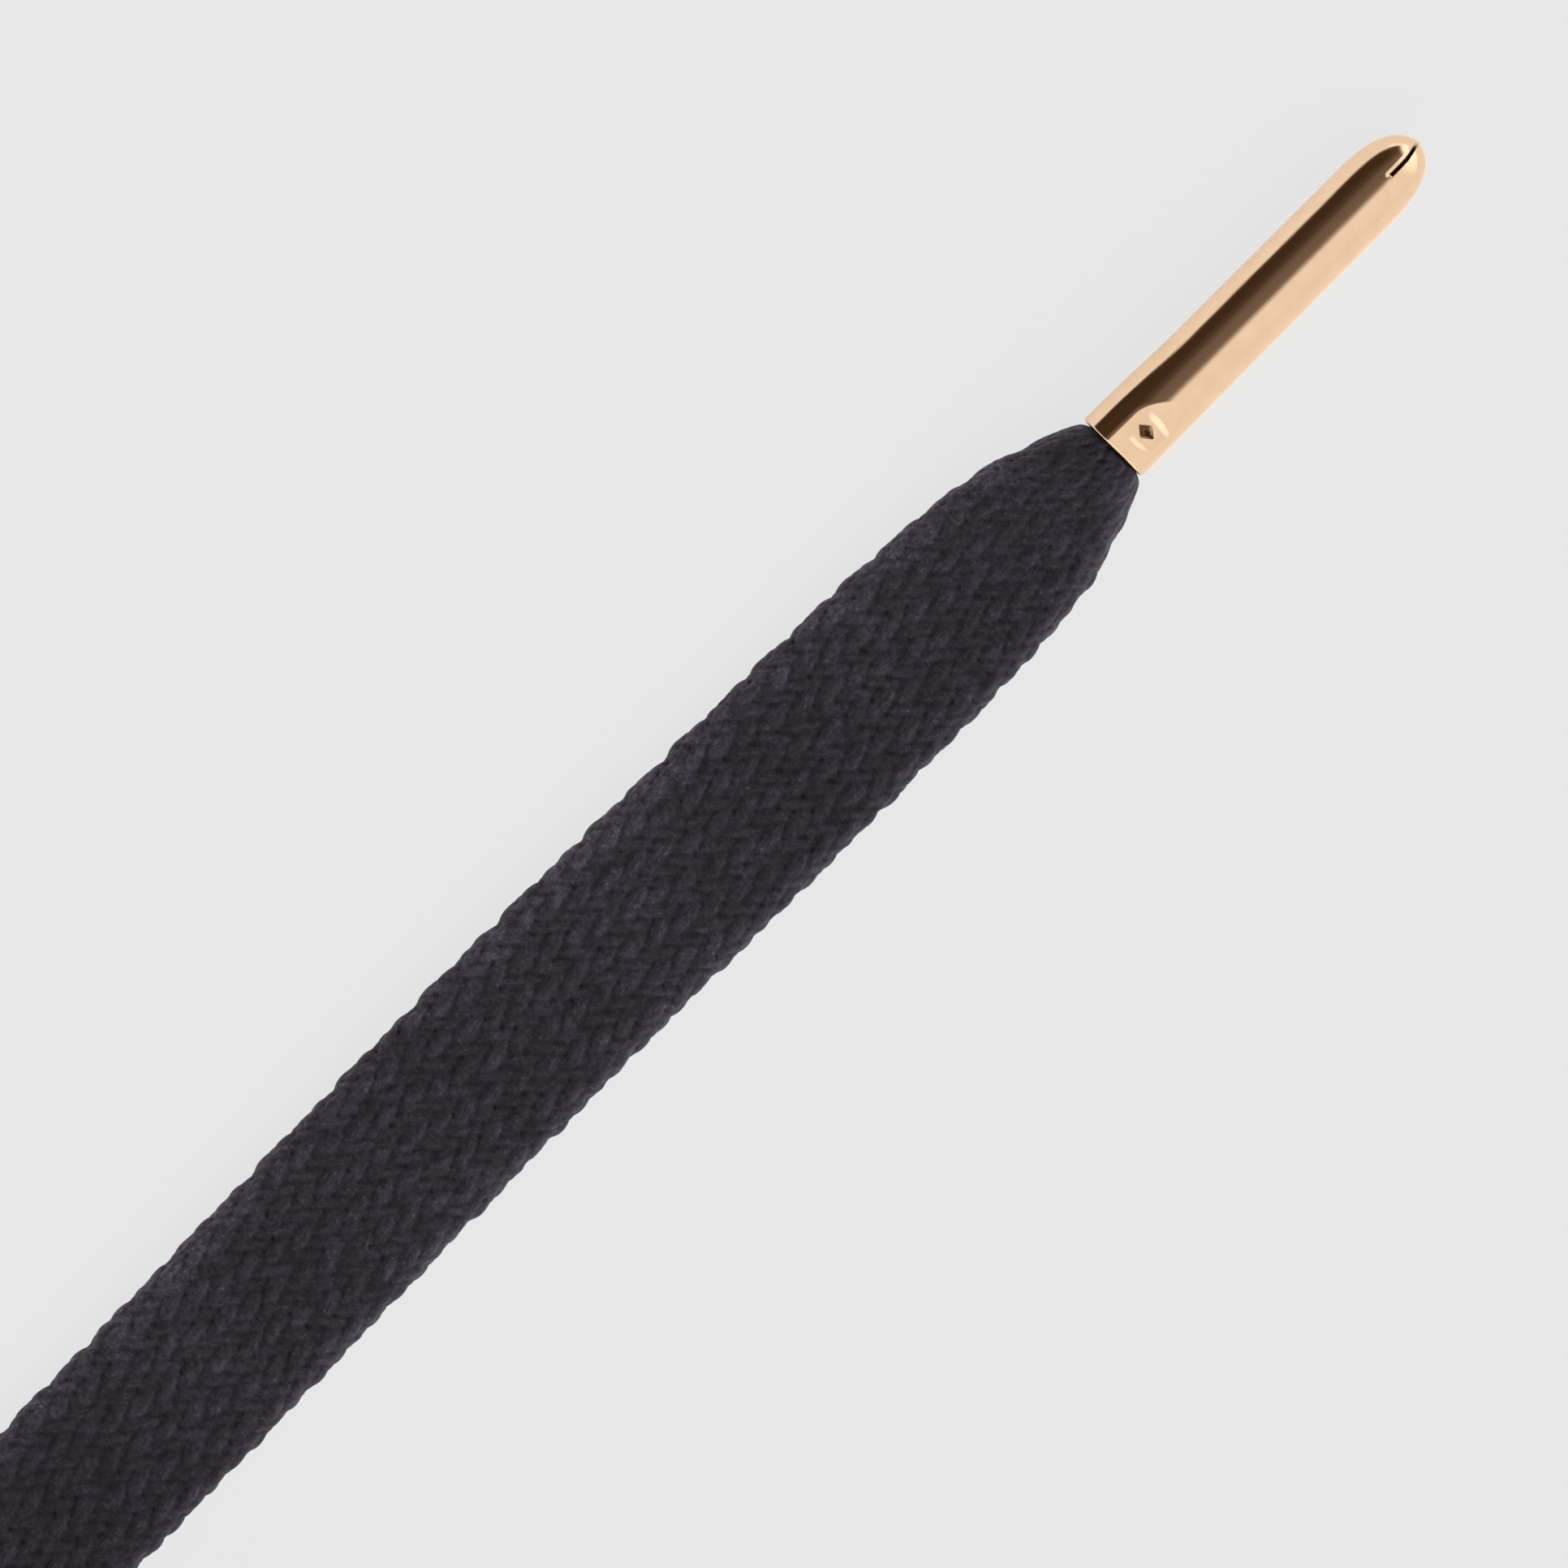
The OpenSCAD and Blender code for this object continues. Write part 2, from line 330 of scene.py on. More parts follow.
def wander(axial, around, seed, waves=9, longest=9.0, shortest=2.5):
    """A smooth random surface over the lace, about -1 to 1, that closes on itself round the lace."""
    draw = np.random.default_rng(seed)
    total = np.zeros(np.broadcast_shapes(axial.shape, around.shape))
    for _ in range(waves):
        length = draw.uniform(shortest, longest)
        turns = draw.integers(-4, 5)
        phase = draw.uniform(0, 2 * math.pi)
        total += np.sin(2 * math.pi * (axial / length + turns * around / ROUND) + phase)
    return total / math.sqrt(waves / 2) / 2


def braid(axial, around):
    """Height of the braid's surface, and each point's place along and across the yarn that is on top."""
    loose = 1 + UNEVEN * wander(axial, around, 5, shortest=1.5, longest=5.0)
    axial, around = axial + ROAM_X * wander(axial, around, 3), around + ROAM_Y * wander(axial, around, 4)
    i = (around + STRAND_Q * axial / STRAND_X) / (STRAND_P + STRAND_Q)
    j = axial / STRAND_X - i
    i0, j0 = np.round(i), np.round(j)
    profile_p = np.sqrt(np.clip(1 - (YARN_NARROW * (j - j0)) ** 2, 0, 1))
    profile_q = np.sqrt(np.clip(1 - (YARN_NARROW * (i - i0)) ** 2, 0, 1))
    p = FLOAT_RISE * loose * float_wave(i - j0) + CROWN_P * profile_p - SINK_P
    q = -FLOAT_RISE * loose * float_wave(i0 - j) + CROWN_Q * profile_q
    height = np.log(np.exp(MERGE * p) + np.exp(MERGE * q)) / MERGE
    on_p = p > q
    length_p, length_q = math.hypot(STRAND_X, STRAND_P), math.hypot(STRAND_X, STRAND_Q)
    lie = np.where(on_p, i * length_p, j * length_q)
    cross = np.where(on_p, j - j0, i - i0) * ACROSS
    strand = np.where(on_p, j0, i0 + FAMILY_GAP)
    return height, lie, cross, strand


# The edge's round bumps on the +Y and the -Y side: depth of those four crossings long, and of those two long
BUMPS_POS, BUMPS_NEG = (0.14, 0.06), (0.05, 0.12)
BUMP_FROM, BUMP_RAMP = 0.72, 0.25           # where on the half width they start, and reach their full depth
BUMP_ROUND = 0.7                            # below 1 rounds the bumps and sharpens the notches


def scallop(phase, period):
    """Round bumps with sharp notches between them, from -1 in a notch to 0."""
    return np.abs(np.sin(math.pi * phase / period)) ** BUMP_ROUND - 1


def edge_bumps(phase, u, a):
    """How far the edge is drawn in between the yarns that turn round it."""
    total = np.zeros_like(u)
    for (long, short), side in ((BUMPS_POS, 1), (BUMPS_NEG, -1)):
        bumps = long * scallop(phase, 4 * STRAND_X) + short * scallop(phase, 2 * STRAND_X)
        total += bumps[:, None] * smooth_step((side * u / a[:, None] - BUMP_FROM) / BUMP_RAMP)
    return total


GATHER_STRETCH = 0.35      # how much longer the braid's pattern grows where the lace is drawn in
# The pleats at each tip's mouth: place across the lace there and its drift, depth, length, on which face
PLEATS = [(0.25, -0.19, 0.26, 4.2, 1), (-1.05, -0.42, 0.13, 3.0, 1), (1.15, 0.30, 0.14, 2.4, 1),
          (-0.3, 0.15, 0.24, 4.0, -1), (0.9, 0.35, 0.13, 3.0, -1), (-1.3, -0.3, 0.12, 2.6, -1)]
PLEAT_W, PLEAT_OPEN = 0.16, 0.05            # a pleat's half width at the mouth, and how it opens behind it
PLEAT_IN = 1.5                              # how far into the tip the pleats go
GATHERED_LEAST = 0.45                       # the share of its girth below which the pattern stays as it is


def pleats(r, u):
    """Depth of the creases that gather the lace into a tip."""
    near = np.minimum(r["front"], r["rear"])[:, None]
    d = np.clip(near, 0, None)
    total = np.zeros_like(u)
    side = np.where(np.arange(AROUND) < AROUND / 2, 1, -1)[None, :]
    for at, drift, depth, length, face in PLEATS:
        crease = np.exp(-((u - at - drift * d) / (PLEAT_W + PLEAT_OPEN * d)) ** 2)
        total += crease * depth * smooth_step(1 - d / length) * (side == face) * (near > -PLEAT_IN)
    return total


HELD_RELIEF = 0.35         # how much of the braid's relief is left inside a tip
HELD_FADE = 0.3            # length outside the mouth over which the crimp's push fades out
FULL_SHADE_DEPTH, CREASE_SHADE = 0.3, 0.4            # the depth at which the painted shade in the pits is fully dark, and how much a pleat adds to it
STRAND_SHIFT = 0.37        # sets one yarn's fibres apart from the next one's


def make_lace(material):
    r = make_route()
    place, width, face = frames(r)
    u, v, nu, nv, share, whole = section(r["a"], r["b"])
    girth = whole / whole[len(whole) // 2]
    gathered = 1 - np.clip(girth, GATHERED_LEAST, 1)
    phase = np.cumsum(np.gradient(r["s"]) / (1 + GATHER_STRETCH * gathered))
    height, lie, cross, strand = braid(-phase[:, None], share[None, :] * ROUND)
    fullness = girth[:, None]
    height = (height - BRAID_MEAN) * fullness
    crease = pleats(r, u)
    free = smooth_step(np.minimum(r["front"], r["rear"]) + 0.5)[:, None]
    lift = (height - crease) * (HELD_RELIEF + (1 - HELD_RELIEF) * free)
    lift = lift + edge_bumps(phase, u, r["a"]) * free * fullness
    u, v = u + nu * lift, v + nv * lift
    points = place[:, None] + width[:, None] * u[..., None] + face[:, None] * v[..., None]
    # The crimp presses the held ends as it presses the wall, and that fades out just outside the mouth
    for mouth, held in (((0, 0, 0), r["front"] < 0.5), ((REAR_X, REAR_Y, 0), r["rear"] < 0.5)):
        inside = points[held] - mouth
        angle = np.arctan2(-inside[..., 1], inside[..., 2])
        pressed, up, _ = crimp(np.maximum(inside[..., 0], 0), -TIP_R * np.sin(angle), TIP_R * np.cos(angle))
        size = np.hypot(inside[..., 1], inside[..., 2]) / (TIP_R - WALL)
        share_in = smooth_step(inside[..., 0] / HELD_FADE + 1) * np.clip(size, 0, 1)
        points[held] -= (pressed * share_in)[..., None] * np.array([0, *up])
    mesh = grid_mesh("lace", points)
    # Painted shade: the material darkens the lace where its surface lies below the braid's mean, and in the
    # pleats
    depth = np.clip((CREASE_SHADE * crease - height) / FULL_SHADE_DEPTH, 0, 1)
    yarn = np.stack([lie, cross, strand * STRAND_SHIFT], -1)
    # Place across the width, 0 at one edge and 1 at the other (+Y in the shown run); the material paints a
    # sheen on both edges with it
    edge = 0.5 + 0.5 * u / r["a"][:, None]
    for name, kind, key, values in (("pit_shade", "FLOAT", "value", depth), ("edge", "FLOAT", "value", edge),
                                    ("yarn", "FLOAT_VECTOR", "vector", yarn)):
        data = mesh.attributes.new(name, kind, "POINT").data
        data.foreach_set(key, values.astype(np.float32).ravel())
    piece = add_object("lace", mesh, material)
    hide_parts("front_lace_end", "lace_run", "lace_hank", "lace_tail", "rear_lace_end")
    return piece, place, r["total"]


# ---------------------------------------------------------------- materials
class Nodes:
    """A material's or a world's node tree, with short calls to add and link nodes."""

    def __init__(self, owner):
        owner.use_nodes = True
        self.owner = owner
        self.tree = owner.node_tree
        self.shader = self.tree.nodes.get("Principled BSDF")

    def add(self, kind, **settings):
        node = self.tree.nodes.new(kind)
        inputs = settings.pop("inputs", {})
        for key, value in settings.items():
            setattr(node, key, value)
        for key, value in inputs.items():
            self.put(node, key, value)
        return node

    def put(self, node, key, value):
        if isinstance(value, bpy.types.NodeSocket):
            self.tree.links.new(value, node.inputs[key])
        else:
            node.inputs[key].default_value = value

    def ramp(self, value, *stops):
        node = self.add("ShaderNodeValToRGB", inputs={"Fac": value})
        while len(node.color_ramp.elements) < len(stops):
            node.color_ramp.elements.new(0.5)
        for element, (place, colour) in zip(node.color_ramp.elements, stops, strict=True):
            element.position = place
            element.color = (*colour, 1)
        return node.outputs["Color"]

    def noise(self, vector, scale, detail):
        node = self.add("ShaderNodeTexNoise", inputs={"Vector": vector, "Scale": scale, "Detail": detail})
        return node.outputs["Fac"]

    def stretch(self, vector, *scale):
        return self.add("ShaderNodeMapping", inputs={"Vector": vector, "Scale": scale}).outputs["Vector"]

    def bump(self, height, strength, distance):
        settings = {"Height": height, "Strength": strength, "Distance": distance}
        self.put(self.shader, "Normal", self.add("ShaderNodeBump", inputs=settings).outputs["Normal"])

    def multiply(self, one, other):
        node = self.add("ShaderNodeMix", data_type="RGBA", blend_type="MULTIPLY")
        for key, value in ((0, 1.0), (6, one), (7, other)):
            self.put(node, key, value)
        return node.outputs[2]


def lace_material():
    """Dyed braid: streaks along each yarn, painted shade in the pits between them, mottled, with pale fuzz
    and a painted sheen on the edges.
    """
    n = Nodes(bpy.data.materials.new("lace"))
    place = n.add("ShaderNodeTexCoord").outputs["Object"]
    yarn = n.add("ShaderNodeAttribute", attribute_name="yarn").outputs["Vector"]
    pit_shade = n.add("ShaderNodeAttribute", attribute_name="pit_shade").outputs["Fac"]
    edge = n.add("ShaderNodeAttribute", attribute_name="edge").outputs["Fac"]
    fibre = n.noise(n.stretch(yarn, 1.3, 15.0, 7.0), 1.0, 4.0)
    fuzz = n.noise(place, 6500.0, 2.0)
    cloud = n.noise(place, 70.0, 1.0)
    mottle = n.noise(place, 800.0, 1.0)
    grain = n.noise(place, 3600.0, 2.0)
    colour = n.ramp(fibre, (0.3, (0.0236, 0.0196, 0.0316)), (0.7, (0.0540, 0.0464, 0.0692)))
    for value, stops in (
        # painted shade in the pits between the yarns and in the pleats
        (pit_shade, ((0.2, (1, 1, 1)), (0.8, (0.40, 0.38, 0.42)))),
        (cloud, ((0.3, (0.72, 0.73, 0.76)), (0.7, (1.28, 1.27, 1.24)))),
        (mottle, ((0.3, (0.74, 0.72, 0.70)), (0.7, (1.26, 1.28, 1.30)))),
        (grain, ((0.3, (0.5, 0.5, 0.52)), (0.7, (1.5, 1.5, 1.48)))),
        (fuzz, ((0.6, (1, 1, 1)), (0.74, (2.4, 2.4, 2.4)))),
        # painted sheen on both edges, much brighter on the edge at 1, which the studio light leaves dim
        (edge, ((0.0, (1.25, 1.28, 1.24)), (0.28, (1, 1, 1)), (0.80, (1, 1, 1)), (1.0, (2.5, 2.5, 2.4))))):
        colour = n.multiply(colour, n.ramp(value, *stops))
    n.put(n.shader, "Base Color", colour)
    n.put(n.shader, "Roughness", 0.82)
    n.put(n.shader, "Sheen Weight", 0.16)
    n.put(n.shader, "Sheen Roughness", 0.45)
    height = n.add("ShaderNodeMath", operation="ADD", inputs={0: fibre, 1: fuzz})
    n.bump(height.outputs[0], 0.55, 0.00006)
    return n.owner


def gold_material():
    """Polished pale rose gold, with fine lengthwise scratches, a slight cloud, and painted shade in the slit
    and the dimple's core.
    """
    n = Nodes(bpy.data.materials.new("tip_metal"))
    place = n.add("ShaderNodeTexCoord").outputs["Object"]
    scratch = n.noise(n.stretch(place, 700.0, 14000.0, 14000.0), 1.0, 3.0)
    tone = n.ramp(n.noise(place, 900.0, 3.0), (0.3, (0.84, 0.595, 0.385)), (0.7, (0.88, 0.635, 0.425)))
    pit_shade = n.add("ShaderNodeAttribute", attribute_name="pit_shade").outputs["Fac"]
    # Painted shade: darker in the slit and in the dimple's core
    n.put(n.shader, "Base Color", n.multiply(tone, n.ramp(pit_shade, (0.0, (1, 1, 1)), (0.8, (0.10, 0.07, 0.05)))))
    n.put(n.shader, "Metallic", 1.0)
    rough = n.add("ShaderNodeMapRange", inputs={"Value": scratch, "To Min": 0.09, "To Max": 0.19})
    n.put(n.shader, "Roughness", rough.outputs["Result"])
    n.bump(scratch, 0.12, 0.00002)
    return n.owner


def paper_material():
    """Kraft paper, with pulp streaks and dark flecks."""
    n = Nodes(bpy.data.materials.new("tie"))
    place = n.add("ShaderNodeTexCoord").outputs["Object"]
    pulp = n.noise(n.stretch(place, 2600.0, 900.0, 900.0), 1.0, 5.0)
    fleck = n.noise(place, 3500.0, 1.0)
    colour = n.ramp(pulp, (0.3, (0.50, 0.36, 0.22)), (0.7, (0.64, 0.48, 0.31)))
    colour = n.multiply(colour, n.ramp(fleck, (0.66, (1, 1, 1)), (0.72, (0.55, 0.48, 0.42))))
    n.put(n.shader, "Base Color", colour)
    n.put(n.shader, "Roughness", 0.75)
    n.bump(pulp, 0.4, 0.00005)
    return n.owner


# ---------------------------------------------------------------- the metal tips
TIP_COLUMNS = 336                       # points round each ring
NOSE_R = 2.0                            # radius where the CAD's nose starts
SKIN = 0.012                            # how far the bare wall stays inside the CAD's outline
FLAT_ANGLE = math.radians(20)           # direction that the crimp presses from, from straight up towards -Y
FLAT_DEPTH, FLAT_END, FLAT_RAMP, FLAT_BLEND = 0.42, 2.1, 2.2, 0.12  # depth, length, run-out, softness
LEAST_BLEND = 0.001                     # keeps the softness above nothing where the flat has run out
BULGE = 0.12                            # how far the crimp squeezes out the side of the wall
DIMPLE_X, DIMPLE_SIDE = 1.85, -0.02     # the dimple's middle, along X and across the flat
DISH_X, DISH_RAMP, DISH_DEPTH = 1.0, 0.45, 0.15         # half length along X, width of its walls, depth
DISH_TAPER, DISH_TAPER_L = 0.15, 1.2                    # it gets shorter towards -Y
DISH_TOP, DISH_TOP_RAMP = 0.9, 0.7                      # where it ends towards +Y, and how gently
DISH_FOOT, DISH_FOOT_RAMP = 1.7, 1.6                    # and towards -Y
CORE_X, CORE_SIDE, CORE_DEPTH = 0.44, 0.58, 0.36        # the diamond's half diagonals and depth
CORE_SHADE, CORE_SHADE_TO, CORE_SHADE_RAMP = 0.54, 1.15, 0.3      # how dark the core's painted shade is, and that shade's edge about it
SLIT_START, SLIT_HALF, SLIT_DEPTH = 20.4, 0.09, 0.5     # where the slit starts, its half width and depth
SLIT_SOFT, SLIT_RUN_IN, LIP_RUN_IN = 0.015, 0.1, 0.3    # half of its edge's width, and how its end fades in
SLIT_Y, SLIT_RISE, RISE_START = -0.21, 0.26, 21.2       # its line, and its bend towards +Y
LIP_W, LIP_SLOPE = 0.3, 0.36            # the chamfer on the slit's +Y side
OGIVE_L, OGIVE_POWER = 4.3, 2.8         # the nose's curve
BORE_END, BORE_ROUND = 20.1, 2.1        # the bore's blind end and the length that it rounds over
LIP_R = WALL / 2                        # the mouth's rounded lip
DETAIL_L = 4.3                          # rings are close together from the mouth to here
POINT_R = 0.002                         # the small hole that each end cap closes
COLUMN_CROWD = 0.62                     # crowds the columns towards the top, where the detail is
BULGE_FROM, BULGE_RISE, BULGE_TO, BULGE_FALL = 0.42, 0.48, 1.7, 0.9     # its spread round, in radians
BULGE_L, BULGE_FADE = 1.0, 6.0          # it keeps its size up to here, and fades over this length
SLIT_SHADE_FROM, SLIT_SHADE_RAMP = 0.14, 0.1          # depth in the slit at which its painted shade starts, and the depth over which it grows
UNROUND, UNROUND_X = 0.25, 0.7          # the wall is a little out of round, as a share of SKIN, and how it
UNEVEN_R, UNEVEN_X = 0.25, 1.7          # changes along X; and a little uneven along X


def spaced(*spans):
    """Distances made of spans (start, stop, step), in order."""
    parts = [np.linspace(a, b, max(1, int(round(abs(b - a) / step))), endpoint=False) for a, b, step in spans]
    return np.concatenate([*parts, [spans[-1][1]]])


def tip_outline():
    """The shell's outline from inside the bore, round the lip, along the wall and round the nose."""
    round_from = BORE_END - BORE_ROUND
    inner_x = spaced((BORE_END, round_from, 0.25), (round_from, 4.0, 1.2), (4.0, LIP_R, 0.12))
    t = np.clip((inner_x - round_from) / BORE_ROUND, 0, 1)
    inner_r = (TIP_R - WALL) * np.sqrt(1 - t ** 2)
    inner_r[0] = POINT_R
    lip = np.linspace(0, math.pi, 12)[1:-1]
    lip_x = LIP_R - LIP_R * np.sin(lip)
    lip_r = TIP_R - LIP_R - LIP_R * np.cos(lip)
    outer_x = spaced((LIP_R, DETAIL_L, 0.045), (DETAIL_L, TIP_L - OGIVE_L, 0.3))
    outer_r = TIP_R - (TIP_R - NOSE_R) * outer_x / (TIP_L - NOSE_L)
    turn = np.linspace(0, math.pi / 2, 96)[1:]
    nose_x = TIP_L - OGIVE_L + OGIVE_L * np.sin(turn) ** (2 / OGIVE_POWER)
    nose_r = outer_r[-1] * np.cos(turn)
    nose_r[-1] = POINT_R
    x = np.concatenate([inner_x, lip_x, outer_x, nose_x])
    return x, np.concatenate([inner_r, lip_r, outer_r, nose_r]), len(inner_x) + len(lip_x)


def crimp(x, y, z):
    """How far the crimp pushes each point of the wall, for a flat, a shallow dish and a diamond-shaped core;
    the direction that it pushes from, as Y and Z; and where the core's painted shade lies."""
    up = (-math.sin(FLAT_ANGLE), math.cos(FLAT_ANGLE))
    height = y * up[0] + z * up[1]
    side = y * up[1] - z * up[0] - DIMPLE_SIDE
    reach = 1 - smooth_step((x - FLAT_END) / FLAT_RAMP)
    over = height - TIP_R + FLAT_DEPTH * reach
    blend = FLAT_BLEND * reach + LEAST_BLEND
    flat = np.clip(over + blend, 0, 2 * blend) ** 2 / (4 * blend) + np.maximum(over - blend, 0)
    away = x - DIMPLE_X
    half = DISH_X * (1 - DISH_TAPER * smooth_step(-side / DISH_TAPER_L))
    dish = DISH_DEPTH * smooth_step((half - np.abs(away)) / DISH_RAMP)
    dish = dish * smooth_step((DISH_TOP - side) / DISH_TOP_RAMP)
    dish = dish * smooth_step((side + DISH_FOOT) / DISH_FOOT_RAMP)
    diamond = np.abs(away) / CORE_X + np.abs(side) / CORE_SIDE
    core = CORE_DEPTH * np.clip(1 - diamond, 0, 1)
    # painted shade in the dimple's core and a little round it, on the upper half only
    core_shade = smooth_step((CORE_SHADE_TO - diamond) / CORE_SHADE_RAMP) * (z > 0)
    return (flat + (dish + core) * (z > 0)) * (x < FLAT_END + FLAT_RAMP), up, core_shade


def nose_slit(x, y, z):
    """Depth of the slit over the nose, with edges that roll into it."""
    line = SLIT_Y + SLIT_RISE * np.clip((x - RISE_START) / (TIP_L - RISE_START), 0, 1) ** 2
    off = np.abs(y - line)
    cut_in = SLIT_DEPTH * smooth_step((SLIT_HALF + SLIT_SOFT - off) / (2 * SLIT_SOFT))
    cut_in = cut_in * smooth_step((x - SLIT_START) / SLIT_RUN_IN)
    lip = LIP_SLOPE * np.clip(LIP_W - off, 0, LIP_W - SLIT_HALF) * (y > line)
    lip = lip * smooth_step((x - SLIT_START + LIP_RUN_IN) / LIP_RUN_IN)
    return (cut_in + lip) * (z > 0)


def make_tip(name, material, node, place, seed):
    """One tip as a closed shell, turned and then pressed, with its mouth at place and its nose along +X."""
    x, r, first_outer = tip_outline()
    even = np.linspace(-math.pi, math.pi, TIP_COLUMNS, endpoint=False)
    angle = even - COLUMN_CROWD * np.sin(even)
    outer = (np.arange(len(x)) >= first_outer)[:, None]
    wave = np.random.default_rng(seed).uniform(0, 2 * math.pi, 3)
    oval = np.sin(UNROUND_X * x[:, None] + wave[0]) * np.cos(2 * angle + wave[1])
    hand = SKIN * (UNROUND * oval + UNEVEN_R * np.sin(UNEVEN_X * x + wave[2])[:, None] - 1)
    bulge = smooth_step((-angle - BULGE_FROM) / BULGE_RISE) - smooth_step((-angle - BULGE_TO) / BULGE_FALL)
    bulge = BULGE * bulge * (1 - smooth_step((x[:, None] - BULGE_L) / BULGE_FADE))
    radius = r[:, None] + bulge + hand * outer * np.clip(r[:, None] - 1, 0, 1)
    size = np.hypot(np.gradient(x), np.gradient(r))
    out_x, out_r = (-np.gradient(r) / size)[:, None], (np.gradient(x) / size)[:, None]
    slit = nose_slit(x[:, None], -radius * np.sin(angle), radius * np.cos(angle)) * outer
    xs = x[:, None] - out_x * slit
    radius = radius - out_r * slit
    y, z = -radius * np.sin(angle), radius * np.cos(angle)
    skin = np.where(outer, radius, TIP_R)
    pressed, up, core_shade = crimp(x[:, None], -skin * np.sin(angle), skin * np.cos(angle))
    y, z = y - pressed * up[0], z - pressed * up[1]
    points = np.stack([xs + place[0], y + place[1], z], -1)
    mesh = grid_mesh(name, points)
    # Painted shade, deep in the slit and in the dimple's core, for the material to darken
    deep = np.clip((slit - SLIT_SHADE_FROM) / SLIT_SHADE_RAMP, 0, 1) + CORE_SHADE * core_shade
    mesh.attributes.new("pit_shade", "FLOAT", "POINT").data.foreach_set("value", deep.astype(np.float32).ravel())
    piece = add_object(name, mesh, material)
    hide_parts(node)
    return piece


# ---------------------------------------------------------------- the paper tie
TIE_T = 0.2                # the paper's thickness; the CAD's band is two layers of it
TIE_LAP = 7.0              # how far the outer end lies over the inner one
TIE_ROUND = 1.4            # the corners' radius
TIE_STEP, TIE_ACROSS = 0.12, 41             # between rings along the paper, and points across it
TIE_CLIMB = 1.5            # length over which the paper climbs on to its own first turn
TIE_EDGE = 0.08            # how far the paper's edge stays inside the CAD's band
TIE_RAGGED = 0.015         # how unevenly the paper is cut
TIE_WAVE = 0.015           # how far it waves
PAPER_SQUARE = 24          # how square its edge is


def tie_outline(inset):
    """A rounded rectangle round the passes, from the middle of its top, with the distance along it."""
    low, high = TIE
    w = (high[1] - low[1]) / 2 - inset
    h = (high[2] - low[2]) / 2 - inset
    c = TIE_ROUND - inset
    points = [(0.0, h)]
    for sy, sz, start in ((1, 1, 0), (1, -1, 270), (-1, -1, 180), (-1, 1, 90)):
        cy, cz = sy * (w - c), sz * (h - c)
        turn = np.radians(np.linspace(start + 90, start, 12))
        points += [(cy + c * math.cos(t), cz + c * math.sin(t)) for t in turn]
    points.append((0.0, h))
    line = np.array(points) + ((low[1] + high[1]) / 2, (low[2] + high[2]) / 2)
    s = along(line)
    at = np.arange(0, s[-1], TIE_STEP)
    return np.stack([np.interp(at, s, line[:, k]) for k in (0, 1)], -1), at


def make_tie(material):
    """A strip of kraft paper wound round the waist, its outer end glued down over the inner one."""
    inner, s_in = tie_outline(1.5 * TIE_T)
    outer, s_out = tie_outline(0.5 * TIE_T)
    lap = s_out <= TIE_LAP
    climb = smooth_step((s_in - (s_in[-1] - TIE_CLIMB)) / TIE_CLIMB)[:, None]
    line = np.concatenate([inner + (outer[0] - inner[-1]) * climb, outer[lap][1:]])
    s = along(line)
    tangent = np.gradient(line, s, axis=0)
    tangent /= np.linalg.norm(tangent, axis=1)[:, None]
    out = np.stack([tangent[:, 1], -tangent[:, 0]], -1)
    out *= np.sign(np.sum(out * (line - line.mean(0)), 1))[:, None]
    across = np.linspace(-1, 1, TIE_ACROSS)
    draw = np.random.default_rng(8)
    ragged = TIE_RAGGED * sum(np.sin(s * draw.uniform(0.3, 2.2) + draw.uniform(0, 6)) for _ in range(4))
    half = TIE_HALF - TIE_EDGE + ragged
    wave = TIE_WAVE * np.sin(0.45 * s[:, None] + 1.3 * across[None, :])
    thick = TIE_T / 2 * np.sqrt(np.clip(1 - np.abs(across) ** PAPER_SQUARE, 0.02, 1))
    rows = []
    for layer in (1, -1):
        x = TIE_X + half[:, None] * across[None, ::layer]
        lift = layer * thick + wave[:, ::layer]
        y, z = (line[:, None, k] + out[:, None, k] * lift for k in (0, 1))
        rows.append(np.stack([x, y, z], -1))
    mesh = grid_mesh("tie", np.concatenate(rows, 1))
    piece = add_object("tie", mesh, material)
    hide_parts("hank_tie")
    return piece


# ---------------------------------------------------------------- the pieces
lace, lace_path, lace_length = make_lace(lace_material())
metal = gold_material()
front_tip = make_tip("front_tip", metal, "front_aglet", (0, 0), 1)
rear_tip = make_tip("rear_tip", metal, "rear_aglet", (REAR_X, REAR_Y), 2)
tie = make_tie(paper_material())


# ---------------------------------------------------------------- floor and light
FLOOR_SIZE = 4.0                        # half the sheet's side, in metres
PALE = (0.8037, 0.8053, 0.8076, 1)      # the background's colour, the same as the sheet's
# The sheet's own light and its paint: as the camera sees them, and as they light and show in the object
FLOOR_GLOW, FLOOR_LIGHT = 0.747, 0.55
FLOOR_SHOWN, FLOOR_PAINT = 0.12, 0.8


def make_floor():
    """A pale sheet that glows a little, as a lit table does, so that shadows on it are faint."""
    n = Nodes(bpy.data.materials.new("floor"))
    seen = n.add("ShaderNodeLightPath").outputs["Is Camera Ray"]
    base = n.add("ShaderNodeMapRange", inputs={"Value": seen, "To Min": FLOOR_PAINT, "To Max": FLOOR_SHOWN})
    n.put(n.shader, "Base Color", base.outputs["Result"])
    n.put(n.shader, "Roughness", 0.9)
    n.put(n.shader, "Specular IOR Level", 0.0)
    n.put(n.shader, "Emission Color", (0.988, 0.995, 1, 1))
    glow = n.add("ShaderNodeMapRange", inputs={"Value": seen, "To Min": FLOOR_LIGHT, "To Max": FLOOR_GLOW})
    n.put(n.shader, "Emission Strength", glow.outputs["Result"])
    mesh = bpy.data.meshes.new("floor")
    corners = [(-1, -1), (1, -1), (1, 1), (-1, 1)]
    mesh.from_pydata([(x * FLOOR_SIZE, y * FLOOR_SIZE, FLOOR * MM) for x, y in corners], [], [(0, 1, 2, 3)])
    mesh.materials.append(n.owner)
    floor = bpy.data.objects.new("floor", mesh)
    bpy.context.scene.collection.objects.link(floor)


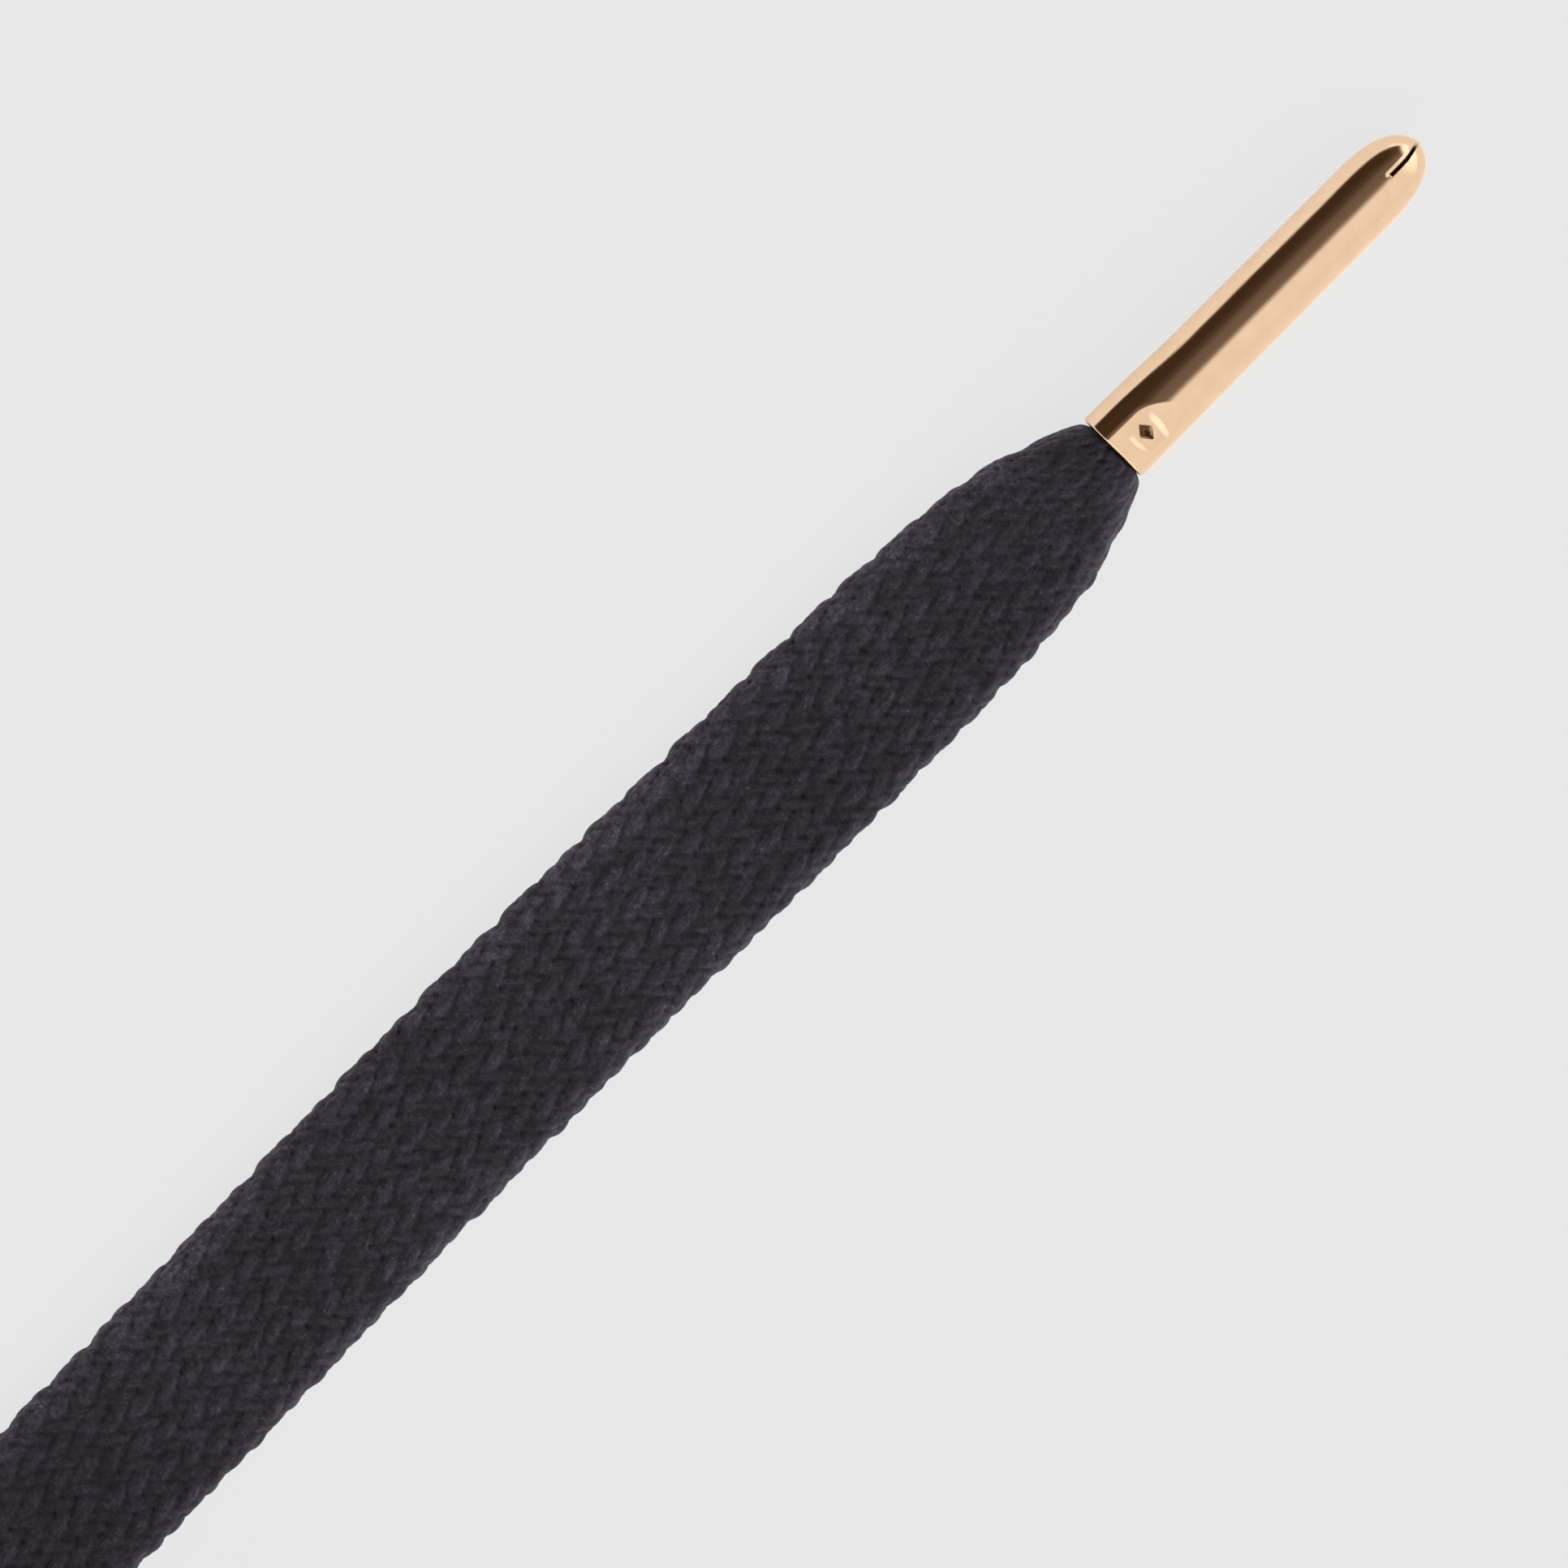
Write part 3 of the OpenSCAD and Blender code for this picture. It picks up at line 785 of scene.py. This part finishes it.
# The studio's brightness round the object: degrees from straight up towards +Y, and colour
STUDIO = [(-90, (0.92, 0.92, 0.92)), (-60, (0.96, 0.96, 0.95)), (-24, (0.98, 0.96, 0.98)),
          (-13, (0.34, 0.27, 0.24)), (-7, (0.19, 0.145, 0.125)), (18, (0.165, 0.13, 0.11)),
          (28, (0.095, 0.073, 0.052)), (42, (0.06, 0.04, 0.022)), (76, (0.045, 0.023, 0.008)),
          (82, (1.05, 1.05, 1.05)), (90, (1, 1, 1))]
END_LIGHT = (1.1, 1.1, 1.1, 1)          # the light at the two ends, along X
END_FROM, END_TO = 0.8, 0.92            # where it starts and is full, as the X of a direction
SIDE_GAIN, SIDE_FROM, SIDE_TO = 1.4, 0.5, 0.7    # and what is brighter from nearer the middle on


def make_world():
    """A soft studio: bright towards -Y, low down at +Y and at both ends, dark overhead; the camera sees a
    plain pale background."""
    world = bpy.data.worlds.new("studio")
    bpy.context.scene.world = world
    n = Nodes(world)
    background = n.tree.nodes["Background"]
    parts = n.add("ShaderNodeSeparateXYZ", inputs={0: n.add("ShaderNodeTexCoord").outputs["Generated"]})
    tilt = n.add("ShaderNodeMath", operation="ARCTAN2", inputs={0: parts.outputs["Y"], 1: parts.outputs["Z"]})
    share = n.add("ShaderNodeMath", operation="MULTIPLY_ADD",
                  inputs={0: tilt.outputs[0], 1: 1 / math.pi, 2: 0.5})
    sky = n.ramp(share.outputs[0], *[(0.5 + degrees / 180, colour) for degrees, colour in STUDIO])
    across = n.add("ShaderNodeMath", operation="ABSOLUTE", inputs={0: parts.outputs["X"]})
    ends = n.add("ShaderNodeMapRange", interpolation_type="SMOOTHSTEP",
                 inputs={"Value": across.outputs[0], "From Min": END_FROM, "From Max": END_TO})
    lit = n.add("ShaderNodeMix", data_type="RGBA", inputs={0: ends.outputs["Result"], 6: sky, 7: END_LIGHT})
    glow = n.add("ShaderNodeMapRange", inputs={"Value": across.outputs[0], "From Min": SIDE_FROM,
                                               "From Max": SIDE_TO, "To Min": 1.0, "To Max": SIDE_GAIN})
    bright = n.add("ShaderNodeVectorMath", operation="SCALE",
                   inputs={0: lit.outputs[2], "Scale": glow.outputs["Result"]})
    seen = n.add("ShaderNodeLightPath").outputs["Is Camera Ray"]
    shown = n.add("ShaderNodeMix", data_type="RGBA",
                  inputs={0: seen, 6: bright.outputs[0], 7: PALE})
    n.put(background, "Color", shown.outputs[2])
    n.put(background, "Strength", 1.0)


make_floor()
make_world()
bpy.context.scene.view_settings.view_transform = "Standard"
